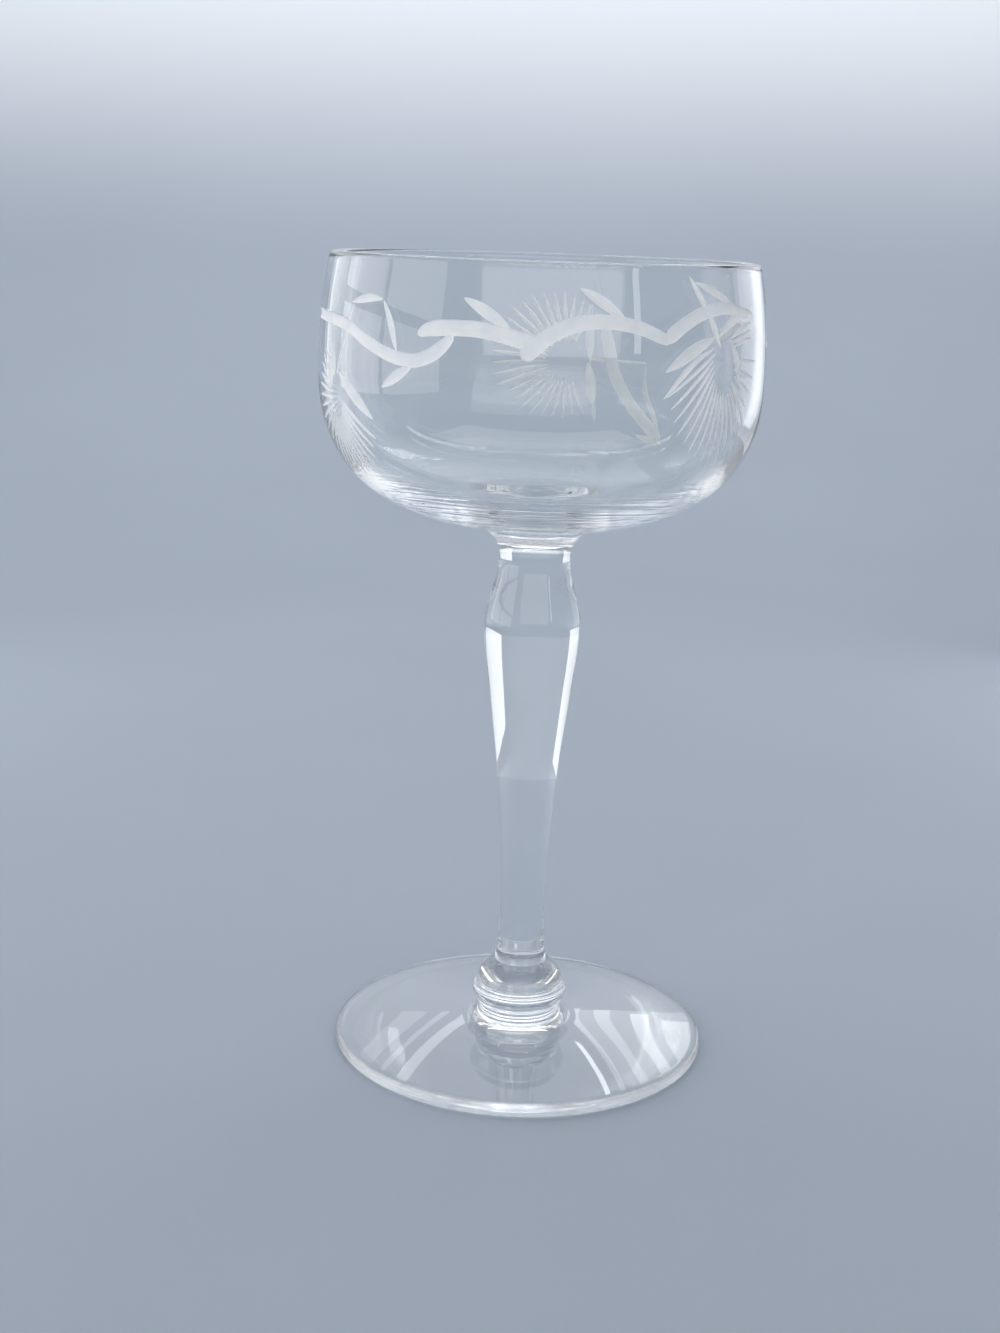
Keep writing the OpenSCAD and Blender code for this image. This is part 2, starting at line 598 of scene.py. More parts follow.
def turn(name: str, outline: Outline) -> bpy.types.Object:
    """Turns an outline about the axis into a closed solid.

    Args:
        name: Name of the piece.
        outline: Half-section to turn.

    Returns:
        The new object, with a material index on each face.
    """
    points = outline.points
    angles = np.arange(FACETS) * (2 * math.pi / FACETS)
    rings, verts = [], []
    for radius, height in points:
        if radius < NOTHING:
            rings.append(np.full(FACETS, len(verts)))
            verts.append((0.0, 0.0, height * MM))
        else:
            rings.append(len(verts) + np.arange(FACETS))
            verts.extend(zip(radius * np.cos(angles) * MM, radius * np.sin(angles) * MM,
                             np.full(FACETS, height * MM)))
    faces, skins = [], []
    for k, skin in enumerate(outline.skins()):
        low, high = rings[k], rings[k + 1]
        for i in range(FACETS):
            j = (i + 1) % FACETS
            corners = [int(low[i]), int(low[j]), int(high[j]), int(high[i])]
            faces.append(list(dict.fromkeys(corners)))
            skins.append(int(skin))
    mesh = bpy.data.meshes.new(name)
    mesh.from_pydata(verts, [], faces)
    mesh.polygons.foreach_set("material_index", skins)
    mesh.update()
    piece = bpy.data.objects.new(name, mesh)
    bpy.context.scene.collection.objects.link(piece)
    return piece


def polish(piece: bpy.types.Object, outline: Outline) -> None:
    """Gives each corner of the turned faces the direction of the true curve.

    Args:
        piece: Turned piece, with or without cuts.
        outline: Half-section that it was turned from.
    """
    # Faces handled at once, weight of a face's direction beside its distance in
    # millimetres, and the radius in millimetres under which a corner is on the axis
    batch, look_weight, axis_r = 8192, 4.0, 1e-3
    mesh = piece.data
    count, loops = len(mesh.polygons), len(mesh.loops)
    co = np.empty(len(mesh.vertices) * 3)
    mesh.vertices.foreach_get("co", co)
    co = co.reshape(-1, 3) / MM
    index, total, skin = (np.empty(n, np.int32) for n in (loops, count, count))
    mesh.loops.foreach_get("vertex_index", index)
    mesh.polygons.foreach_get("loop_total", total)
    mesh.polygons.foreach_get("material_index", skin)
    middle, facing = np.empty(count * 3), np.empty(count * 3)
    mesh.polygons.foreach_get("center", middle)
    mesh.polygons.foreach_get("normal", facing)
    middle, facing = middle.reshape(-1, 3) / MM, facing.reshape(-1, 3)
    turn_of = np.arctan2(middle[:, 1], middle[:, 0])
    spot = np.stack([np.hypot(middle[:, 0], middle[:, 1]), middle[:, 2]], 1)
    outward = facing[:, 0] * np.cos(turn_of) + facing[:, 1] * np.sin(turn_of)
    look = np.stack([outward, facing[:, 2]], 1)

    low, step = outline.points[:-1], np.diff(outline.points, axis=0)
    out = outline.faces()
    starts, ends = outline.directions()
    length = (step ** 2).sum(1)
    nearest = np.empty(count, np.int32)
    for first in range(0, count, batch):
        part = slice(first, first + batch)
        gap = spot[part, None] - low[None]
        share = np.clip((gap * step[None]).sum(2) / length[None], 0, 1)
        away = np.linalg.norm(gap - share[..., None] * step[None], axis=2)
        away += look_weight * (1 - look[part] @ out.T)
        nearest[part] = away.argmin(1)

    face = np.repeat(np.arange(count), total)
    chosen = nearest[face]
    corner = co[index]
    spot = np.stack([np.hypot(corner[:, 0], corner[:, 1]), corner[:, 2]], 1)
    share = np.clip(((spot - low[chosen]) * step[chosen]).sum(1) / length[chosen], 0, 1)[:, None]
    way = starts[chosen] * (1 - share) + ends[chosen] * share
    way /= np.linalg.norm(way, axis=1, keepdims=True)
    angle = np.arctan2(corner[:, 1], corner[:, 0])
    angle = np.where(spot[:, 0] < axis_r, turn_of[face], angle)
    normals = np.stack([way[:, 0] * np.cos(angle), way[:, 0] * np.sin(angle), way[:, 1]], 1)
    ground = skin[face] == Skin.GROUND.value
    normals[ground] = facing[face][ground]
    mesh.polygons.foreach_set("use_smooth", np.ones(count, bool))
    mesh.normals_split_custom_set(normals)
    mesh.update()


def hermite(start: Place, end: Place, steps: int) -> list[Point]:
    """Points of a smooth stretch between two stations of height, radius and slope.

    Args:
        start: Lower station.
        end: Upper station.
        steps: Number of steps.

    Returns:
        Radius and height of the points, without the last one.
    """
    rise = end[0] - start[0]
    points = []
    for i in range(steps):
        t = i / steps
        radius = (start[1] * (1 + 2 * t) * (1 - t) ** 2 + start[2] * rise * t * (1 - t) ** 2
                  + end[1] * t * t * (3 - 2 * t) - end[2] * rise * t * t * (1 - t))
        points.append((radius, start[0] + rise * t))
    return points


def bend(start: Point, corner: Point, end: Point, steps: int) -> list[Point]:
    """Points of a curve bent towards a corner.

    Args:
        start: First point.
        corner: Point that the curve is pulled to.
        end: Last point.
        steps: Number of steps.

    Returns:
        The points, without the last one.
    """
    points = []
    for i in range(steps):
        t = i / steps
        points.append(tuple(a * (1 - t) ** 2 + c * 2 * t * (1 - t) + b * t * t
                            for a, c, b in zip(start, corner, end)))
    return points


def arc(centre: Point, radii: Point, start: float, end: float, steps: int) -> list[Point]:
    """Points of an elliptical arc.

    Args:
        centre: Radius and height of its centre.
        radii: Half-width and half-height.
        start: First angle in degrees.
        end: Last angle in degrees.
        steps: Number of steps.

    Returns:
        The points, both ends included.
    """
    angles = (math.radians(start + (end - start) * i / steps) for i in range(steps + 1))
    return [(centre[0] + radii[0] * math.cos(a), centre[1] + radii[1] * math.sin(a))
            for a in angles]


@dataclass
class TurnedPiece:
    """A piece of the glass that is turned about the axis, on the seam heights of its CAD node.

    Attributes:
        node: CAD node that the piece stands for.
        slot: Material slot of the record. Not used.
    """

    node: str
    slot: str

    def span(self) -> tuple[float, float, float]:
        """Lowest height, highest height and radius of the CAD node, in millimetres."""
        low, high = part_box(self.node)
        return low.z / MM, high.z / MM, min(high.x - low.x, high.y - low.y) / 2 / MM

    def outline(self) -> Outline:
        """Half-section of the piece, which each piece gives for itself."""
        raise NotImplementedError

    def carve(self, piece: bpy.types.Object, ground: bpy.types.Material) -> None:
        """Cuts the decoration into the piece, if it has one."""

    def make(self, polished: bpy.types.Material, seam: bpy.types.Material,
             ground: bpy.types.Material) -> bpy.types.Object:
        """Builds the piece, dresses it and puts it in place of its CAD node.

        Args:
            polished: Clear glass.
            seam: Finish of the fused seams.
            ground: Finish of the cuts.

        Returns:
            The finished piece.
        """
        outline = self.outline()
        piece = turn(self.node + "_glass", outline)
        for material in (polished, seam, ground):
            piece.data.materials.append(material)
        self.carve(piece, ground)
        polish(piece, outline)
        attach(piece, BODY)
        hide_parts(self.node)
        LOG.info("%s: %d faces", piece.name, len(piece.data.polygons))
        return piece


@dataclass
class Foot(TurnedPiece):
    """Round foot with a low cone, a small boss and a hollow underside. Sizes in millimetres."""

    edge_h: float = 2.2
    edge_round: float = 0.8
    boss_r: float = 10.6
    boss_h: float = 4.4
    seam_r: float = 7.6
    rest_w: float = 3.4
    hollow_h: float = 1.3

    def outline(self) -> Outline:
        """Works out the half-section of the foot.

        Returns:
            The outline.
        """
        low, high, radius = self.span()
        round_r = radius - self.edge_round
        rest_r = round_r - self.rest_w
        hollow_steps, top_steps = 40, 24
        hollow = [(rest_r * math.sin(a), low + self.hollow_h * math.cos(a) ** 2)
                  for a in (math.pi / 2 * i / hollow_steps for i in range(hollow_steps + 1))]
        under = [(rest_r + self.rest_w * i / 3, low) for i in (1, 2)]
        radii = (self.edge_round, self.edge_round)
        lower = arc((round_r, low + self.edge_round), radii, -90, 0, 8)
        # The upper rounding ends where it meets the slope of the cone
        upper = arc((round_r, low + self.edge_h - self.edge_round), radii, 0, 84, 10)
        edge, boss = upper[-1], (self.boss_r, low + self.boss_h)
        top = [(edge[0] + (boss[0] - edge[0]) * i / top_steps,
                edge[1] + (boss[1] - edge[1]) * i / top_steps) for i in range(1, top_steps)]
        neck = bend(boss, (self.seam_r, boss[1]), (self.seam_r, high), 16)
        points = hollow + under + lower + upper + top + neck + [(self.seam_r, high), (0.0, high)]
        return Outline(np.array(points), (high,))


@dataclass
class Collar(TurnedPiece):
    """Flat ring of glass between the foot and the knop. Sizes in millimetres."""

    lower_r: float = 7.6
    upper_r: float = 8.1

    def outline(self) -> Outline:
        """Works out the half-section of the collar.

        Returns:
            The outline.
        """
        low, high, radius = self.span()
        points, steps = [(0.0, low)], 28
        middle = (self.lower_r + self.upper_r) / 2
        for i in range(steps + 1):
            a = math.pi * i / steps
            share = (1 - math.cos(a)) / 2
            seam_r = self.lower_r + (self.upper_r - self.lower_r) * share
            points.append((seam_r + (radius - middle) * math.sin(a), low + (high - low) * share))
        points.append((0.0, high))
        return Outline(np.array(points), (low, high))


@dataclass
class Knop(TurnedPiece):
    """Half-round ball under the stem. Sizes in millimetres."""

    wide_h: float = 0.4
    lower_r: float = 8.1
    upper_r: float = 5.0

    def outline(self) -> Outline:
        """Works out the half-section of the knop.

        Returns:
            The outline.
        """
        low, high, radius = self.span()
        dome = (high - low - self.wide_h) / math.sqrt(1 - (self.upper_r / radius) ** 2)
        dip = self.wide_h / math.sqrt(1 - (self.lower_r / radius) ** 2)
        centre = (0.0, low + self.wide_h)
        first, last = (math.degrees(math.acos(end / radius))
                       for end in (self.lower_r, self.upper_r))
        points = [(0.0, low)]
        points += arc(centre, (radius, dip), -first, 0, 6)[:-1]
        points += arc(centre, (radius, dome), 0, last, 24)
        points.append((0.0, high))
        return Outline(np.array(points), (low, high))


@dataclass
class Stem(TurnedPiece):
    """Solid stem with a welded flare, a slim waist and a swelling below the neck.

    Sizes are in millimetres.
    """

    end_r: float = 5.0
    ankle: Point = (3.0, 4.5)
    waist: Point = (11.0, 4.28)
    calf: Point = (34.8, 5.55)
    thigh: Point = (52.8, 7.6)
    swell_h: float = 66.8
    neck_r: float = 6.7

    def outline(self) -> Outline:
        """Works out the half-section of the stem.

        Returns:
            The outline.
        """
        low, high, radius = self.span()

        def slope(below: Point, above: Point) -> float:
            """Slope from one place to another."""
            return (above[1] - below[1]) / (above[0] - below[0])

        stations = [
            (0.0, self.end_r, 0.0),
            (*self.ankle, slope(self.ankle, self.waist)),
            (*self.waist, 0.0),
            (*self.calf, slope(self.waist, self.thigh)),
            (*self.thigh, slope(self.calf, (self.swell_h, radius))),
            (self.swell_h, radius, 0.0),
            (high - low, self.neck_r, 0.0),
        ]
        points = [(0.0, low)]
        least_steps, step = 8, 0.9
        for first, last in zip(stations, stations[1:]):
            steps = max(least_steps, round((last[0] - first[0]) / step))
            points += [(r, low + z) for r, z in hermite(first, last, steps)]
        points += [(self.neck_r, high), (0.0, high)]
        return Outline(np.array(points), (low, high))


# Wheel cuts


class Wheel(Enum):
    """Stone wheels, each by the section that it leaves: across and deep, as shares."""

    MITRE = ((-1.0, 0.0), (0.0, 1.0), (1.0, 0.0))
    ROUND = ((-1.0, 0.0), (-0.85, 0.52), (-0.55, 0.8), (-0.2, 0.95), (-0.04, 0.93), (0.12, 1.0),
             (0.45, 0.88), (0.7, 0.7), (0.87, 0.5), (1.0, 0.0))
    OLIVE = ((-1.0, 0.0), (-0.7, 0.6), (-0.2, 0.88), (0.0, 1.0), (0.25, 0.84), (0.7, 0.6),
             (1.0, 0.0))


class Sweep(Enum):
    """How the width of a cut grows and fades from its start to its end."""

    RAY = "ray"
    LEAF = "leaf"
    BAND = "band"


class Wall:
    """Outside of the bowl as a sheet, placed by azimuth, run up the wall and depth."""

    def __init__(self, points: np.ndarray) -> None:
        """Measures the outside of the bowl.

        Args:
            points: Outline of the outside, from below upwards, in millimetres.
        """
        step = np.diff(points, axis=0)
        length = np.linalg.norm(step, axis=1)
        self.points = points
        self.run = np.concatenate([[0.0], np.cumsum(length)])
        out = np.stack([step[:, 1], -step[:, 0]], 1) / length[:, None]
        out = np.concatenate([out[:1], (out[:-1] + out[1:]) / 2, out[-1:]])
        self.out = out / np.linalg.norm(out, axis=1, keepdims=True)

    def up(self, height: np.ndarray) -> np.ndarray:
        """Run up the wall at a height."""
        return np.interp(height, self.points[:, 1], self.run)

    def radius(self, run: np.ndarray) -> np.ndarray:
        """Radius at a run up the wall."""
        return np.interp(run, self.run, self.points[:, 0])

    def height(self, run: np.ndarray) -> np.ndarray:
        """Height at a run up the wall."""
        return np.interp(run, self.run, self.points[:, 1])

    def spot(self, turn_by: np.ndarray, run: np.ndarray, deep: np.ndarray) -> np.ndarray:
        """Finds places in or over the wall.

        Args:
            turn_by: Azimuths in radians, from the camera's side towards +X.
            run: Runs up the wall.
            deep: Depths under the surface, less than 0 over it.

        Returns:
            The places in millimetres, one row each.
        """
        radius = self.radius(run) - deep * np.interp(run, self.run, self.out[:, 0])
        height = self.height(run) - deep * np.interp(run, self.run, self.out[:, 1])
        return np.stack([radius * np.sin(turn_by), -radius * np.cos(turn_by), height], -1)


def smooth_path(points: np.ndarray, step: float) -> np.ndarray:
    """Runs a smooth curve through a few points.

    Args:
        points: Points to pass through, one row each.
        step: Distance between the points of the curve.

    Returns:
        The points of the curve.
    """
    if len(points) == 2:
        least = 4
        count = max(least, math.ceil(np.linalg.norm(points[1] - points[0]) / step))
        share = np.linspace(0, 1, count + 1)[:, None]
        return points[0] * (1 - share) + points[1] * share
    ends = np.concatenate([[2 * points[0] - points[1]], points, [2 * points[-1] - points[-2]]])
    curve = []
    for a, b, c, d in zip(ends, ends[1:], ends[2:], ends[3:]):
        count = max(2, math.ceil(np.linalg.norm(c - b) / step))
        for t in np.arange(count) / count:
            curve.append(0.5 * (2 * b + (c - a) * t + (2 * a - 5 * b + 4 * c - d) * t ** 2
                                + (3 * b - a - 3 * c + d) * t ** 3))
    curve.append(points[-1])
    return np.array(curve)


@dataclass(frozen=True)
class Cut:
    """One stroke of a wheel in the outside of the bowl.

    Attributes:
        path: Azimuth in degrees and height in millimetres of each point of its middle line.
        width: Greatest width in millimetres.
        depth: Greatest depth in millimetres.
        wheel: Wheel that makes it.
        sweep: How its width grows and fades.
        tapers: Lengths over which a band grows and fades, in millimetres.
        swell: Width at the end, as a share of the width at the start.
    """

    path: tuple[Point, ...]
    width: float
    depth: float
    wheel: Wheel = Wheel.MITRE
    sweep: Sweep = Sweep.LEAF
    tapers: Point = (1.5, 1.5)
    swell: float = 1.0

    def _share(self, run: np.ndarray) -> np.ndarray:
        """Works out how wide the stroke is along its run.

        Args:
            run: Runs along the stroke, from 0 to its length.

        Returns:
            Share of the full width at each run.
        """
        t = run / run[-1]
        # A ray is broadest before its middle, and a leaf at its middle
        if self.sweep is Sweep.RAY:
            return np.sin(math.pi * t ** 0.8) ** 0.6
        if self.sweep is Sweep.LEAF:
            return np.sin(math.pi * t) ** 0.8
        start = np.clip(run / self.tapers[0], 0, 1)
        end = np.clip((run[-1] - run) / self.tapers[1], 0, 1)
        ends = np.sqrt(1 - (1 - start) ** 2) * np.sqrt(1 - (1 - end) ** 2)
        return ends * (1 + (self.swell - 1) * t)

    def tool(self, wall: Wall) -> tuple[np.ndarray, list[tuple[int, ...]]]:
        """Builds the closed body that the wheel sweeps through the glass.

        Args:
            wall: Outside of the bowl.

        Returns:
            Places of its points in millimetres, and its faces.
        """
        # Distance between rows, least share of the width, lift of the first and last row,
        # and how far the body stands over the glass: in millimetres, but for the share
        step, least, raised, over = 0.7, 0.03, 0.06, 0.22
        spots = np.array(self.path)
        run_up = wall.up(spots[:, 1])
        mean_r = float(wall.radius(run_up).mean())
        line = smooth_path(np.stack([np.radians(spots[:, 0]) * mean_r, run_up], 1), step)
        radius = wall.radius(line[:, 1])
        along = np.gradient(line, axis=0) * np.stack([radius / mean_r, np.ones(len(line))], 1)
        length = np.linalg.norm(along, axis=1, keepdims=True)
        along /= length
        run = np.concatenate([[0.0], np.cumsum((length[1:, 0] + length[:-1, 0]) / 2)])
        share = np.maximum(self._share(run), least)
        half = share * self.width / 2
        deep = self.depth * np.minimum(share, 1) ** 0.8
        lift = np.zeros(len(run))
        lift[[0, -1]] = raised
        section = self.wheel.value
        flank = section[1][1] * self.depth / ((1 + section[1][0]) * self.width / 2)
        verts = []
        for x, d in ((None, -1), *section, (None, 1)):
            if x is None:
                across = d * (half + (over + lift) / flank)
                down = np.full(len(run), -over)
            else:
                across, down = x * half, d * deep - lift
            verts.append(wall.spot(line[:, 0] / mean_r - along[:, 1] * across / radius,
                                   line[:, 1] + along[:, 0] * across, down))
        rows, size = len(run), len(verts)
        points = np.stack(verts, 1).reshape(-1, 3)
        faces: list[tuple[int, ...]] = []
        for k in range(rows - 1):
            for q in range(size):
                p = (q + 1) % size
                faces.append((k * size + p, (k + 1) * size + p, (k + 1) * size + q, k * size + q))
        faces.append(tuple(reversed(range(size))))
        faces.append(tuple((rows - 1) * size + q for q in range(size)))
        return points, faces


@dataclass(frozen=True)
class RayFan:
    """A run of rays round one flower. Directions go from +azimuth towards the rim, in degrees.

    Attributes:
        ways: Directions of the first and of the last ray.
        count: Number of rays.
        lengths: Lengths of the first and of the last ray in millimetres.
        roots: Places on the flower's middle, as directions, where the first and the last start.
        width: Greatest width of a ray in millimetres.
    """

    ways: Point
    count: int
    lengths: Point
    roots: Point
    width: float = 0.6


@dataclass(frozen=True)
class Flower:
    """A rayed flower with a plain polished middle.

    Attributes:
        centre: Azimuth in degrees and height in millimetres of the middle.
        core: Half-width and half-height of the plain middle.
        fans: Runs of rays round it.
        ray_depth: Depth of the rays.
    """

    centre: Point
    core: Point
    fans: tuple[RayFan, ...]
    ray_depth: float = 0.16

    def cuts(self, wall: Wall) -> list[Cut]:
        """Strokes of the flower.

        Args:
            wall: Outside of the bowl.

        Returns:
            One stroke for each ray.
        """
        middle = float(wall.up(np.array(self.centre[1])))
        cuts = []
        for fan in self.fans:
            for i in range(fan.count):
                share = i / max(1, fan.count - 1)
                way, root, length = (first + (last - first) * share
                                     for first, last in (fan.ways, fan.roots, fan.lengths))
                way, root = math.radians(way), math.radians(root)
                # Two rays in three start and stop a little short, as by hand
                short = (0.0, 0.35, 0.15)[i % 3]
                path = []
                for far in (short, length / 2, length - short):
                    run = middle + self.core[1] * math.sin(root) + far * math.sin(way)
                    radius = float(wall.radius(np.array(run)))
                    height = float(wall.height(np.array(run)))
                    across = self.core[0] * math.cos(root) + far * math.cos(way)
                    path.append((self.centre[0] + math.degrees(across / radius), height))
                cuts.append(Cut(tuple(path), fan.width, self.ray_depth, Wheel.MITRE, Sweep.RAY))
        return cuts


def leaf(*path: Point, width: float = 1.3, depth: float = 0.24) -> Cut:
    """A leaf, broad in the middle and pointed at both ends."""
    return Cut(path, width, depth, Wheel.OLIVE, Sweep.LEAF)


def blade(*path: Point, width: float = 0.85) -> Cut:
    """A slim leaf of one mitre stroke."""
    return Cut(path, width, 0.22, Wheel.MITRE, Sweep.LEAF)


def twig(*path: Point, width: float = 0.45) -> Cut:
    """A thin straight stalk."""
    return Cut(path, width, 0.15, Wheel.MITRE, Sweep.BAND, (1.0, 1.0))


def vine(*path: Point, width: float = 2.0, tapers: Point = (1.6, 1.6), swell: float = 1.0) -> Cut:
    """A broad stroke of the vine."""
    return Cut(path, width, 0.3, Wheel.ROUND, Sweep.BAND, tapers, swell)


class Garland:
    """The cut band: three rayed flowers, the vine that links them, its leaves and its twigs."""

    FLOWERS = (
        Flower((-60.5, 126), (1.5, 3.3), (
            RayFan((-33, -115), 11, (11.4, 12.8), (-8, -115), 0.95),
            RayFan((-124, -262), 14, (10.0, 6.5), (-124, -258), 0.8),
        )),
        Flower((49.1, 133.7), (2.5, 4.3), (
            RayFan((214, 308), 14, (13.6, 12.4), (146, 322), 0.7),
            RayFan((321, 358), 4, (8.0, 9.0), (324, 368), 0.8),
        )),
        Flower((172.6, 128.7), (3.7, 3.6), (
            RayFan((114, 51), 8, (9.4, 12.2), (112, 51), 0.9),
            RayFan((42, -20), 8, (13.2, 12.2), (42, -20), 0.85),
            RayFan((-30, -110), 9, (11.5, 9.2), (-30, -108), 0.7),
        )),
    )
    VINE = (
        vine((-106, 134.6), (-98, 136.6), (-90, 138.2), (-82, 139.1), (-73, 139.1), (-56.6, 138.2),
             (-47.2, 135.9), (-40, 134.2), (-35.4, 133.5), (-30.8, 133.4), (-26.5, 134.5),
             (-23.5, 136.1), (-20.8, 138), width=1.4, tapers=(4, 5), swell=1.75),
        vine((-30.6, 137.5), (-26.5, 138.7), (-17, 139), (-11, 138.5), (-5, 137.5), (-1.5, 136.7),
             (0.8, 136.2), width=2.6, tapers=(4.5, 2.4)),
        vine((-4.8, 134.6), (-2.4, 136.2), (1, 138.2), (6, 140), (12, 140.8), (18, 140.6),
             (24, 139.7), (31.5, 137.6), width=2.9, tapers=(2, 2.6), swell=0.68),
        vine((29.7, 137.7), (32.4, 139.2), (36.6, 141), (42.2, 142.5), (49.4, 143.1), (55.8, 142.5),
             (60.7, 142.2), (63.2, 141.9), width=2.6, tapers=(2.4, 10), swell=0.7),
        vine((161.5, 136.6), (159.7, 131), (158, 127), (155, 123.3), (150.4, 119.4), (144.6, 116),
             (138.6, 113.2), (134.6, 111.6), width=2.8, tapers=(4, 5)),
        vine((79, 136), (87, 138.2), (96, 139), (105, 138.6), (114, 137.2), (121, 135.2), width=2.5,
             tapers=(4, 4)),
    )
    LEAVES = (
        leaf((-41.2, 128.4), (-36.5, 130.5), (-31.2, 132.8), width=1.9),
        leaf((-19.2, 143.9), (-13.9, 142), (-7, 139), width=2.0),
        leaf((8.1, 146.1), (13, 144.2), (19.8, 141), width=1.8),
        leaf((37.1, 148.4), (40.2, 145.3), (44.3, 141.1), width=1.35, depth=0.42),
        leaf((42.1, 144.1), (44.7, 140.5), (47.6, 136.4), width=1.35, depth=0.42),
        leaf((38.9, 147.3), (45.8, 145.7), (54, 143.2), width=1.5),
        leaf((45.6, 138.5), (38.5, 136.4), (29.7, 132.8), width=2.3),
        leaf((45.4, 136.8), (37.9, 134.1), (29.4, 128.3), width=1.2),
        leaf((46.6, 138.3), (51.8, 140.8), (60.4, 142.8), width=1.8),
        leaf((51.6, 138.2), (56.5, 139.5), (62.6, 140.7), width=1.2),
        leaf((52.3, 137.4), (57.4, 138.4), (62.4, 139.4), width=1.0),
        leaf((52.8, 136.7), (57.4, 137.6), (62.4, 138), width=0.8),
        leaf((51, 138.3), (53.7, 135.5), (56.3, 130.1), width=1.5),
        leaf((-59.2, 130.2), (-50.8, 126.2), (-44.2, 122.8), width=2.4),
        leaf((166.1, 140.6), (165.9, 134.1), (165.6, 128.4), width=1.9),
        leaf((166.3, 129), (165, 124), (163.6, 119.4), width=2.4),
        leaf((146.4, 112.9), (139.6, 111.8), (131.6, 111), width=1.8),
        leaf((86, 143), (92, 141.6), (99, 139.4), width=1.6),
        leaf((-96, 141.8), (-91, 140.6), (-86, 138.9), width=1.3),
        leaf((-54.4, 141.9), (-47.6, 142.8), (-41.6, 142.8), width=1.5),
    )
    TWIGS = (
        twig((-59.9, 129.4), (-53.4, 141.8), width=0.85),
        blade((-41.8, 142.9), (-38.9, 139.4), (-36.2, 134.2), width=1.3),
        twig((166.4, 129.3), (147.4, 129.2), width=0.65),
        blade((148, 129.8), (147.2, 123.4), (141.4, 117), (135.6, 112.4), width=1.3),
        blade((163.9, 120.6), (162.2, 115.4), width=0.8),
    )

    def carve(self, piece: bpy.types.Object, wall: Wall, ground: bpy.types.Material) -> None:
        """Cuts the garland into the bowl.

        Args:
            piece: Bowl, whose mesh is replaced by the cut one.
            wall: Outside of the bowl.
            ground: Finish of the cuts.
        """
        motifs = [flower.cuts(wall) for flower in self.FLOWERS]
        motifs.append([*self.VINE, *self.LEAVES, *self.TWIGS])
        tools = []
        for number, cuts in enumerate(motifs):
            bodies = [self._body(f"stroke_{number}_{i}", cut, wall, ground)
                      for i, cut in enumerate(cuts)]
            tools.append(join_by(bodies[0], bodies[1:], "UNION"))
        join_by(piece, tools, "DIFFERENCE")
        LOG.info("garland: %d strokes", sum(len(cuts) for cuts in motifs))

    @staticmethod
    def _body(name: str, cut: Cut, wall: Wall, ground: bpy.types.Material) -> bpy.types.Object:
        """Makes the body of one stroke as a loose object for the cutting.

        Args:
            name: Name of the body.
            cut: Stroke to make.
            wall: Outside of the bowl.
            ground: Finish of the cuts.

        Returns:
            The new object.
        """
        points, faces = cut.tool(wall)
        mesh = bpy.data.meshes.new(name)
        mesh.from_pydata((points * MM).tolist(), [], faces)
        mesh.materials.append(ground)
        mesh.update()
        body = bpy.data.objects.new(name, mesh)
        bpy.context.scene.collection.objects.link(body)
        return body


def join_by(target: bpy.types.Object, others: Sequence[bpy.types.Object],
            operation: str) -> bpy.types.Object:
    """Joins solids to a target, or takes them from it, and removes them.

    Args:
        target: Solid that is changed.
        others: Solids to join or take away.
        operation: "UNION" or "DIFFERENCE".

    Returns:
        The target.
    """
    for other in others:
        change = target.modifiers.new(other.name, "BOOLEAN")
        change.operation = operation
        change.solver = "MANIFOLD"
        change.object = other
        if operation == "DIFFERENCE":
            change.material_mode = "TRANSFER"
    graph = bpy.context.evaluated_depsgraph_get()
    mesh = bpy.data.meshes.new_from_object(target.evaluated_get(graph))
    old = target.data
    target.modifiers.clear()
    target.data = mesh
    mesh.name = old.name
    bpy.data.meshes.remove(old)
    for other in others:
        data = other.data
        bpy.data.objects.remove(other)
        bpy.data.meshes.remove(data)
    return target


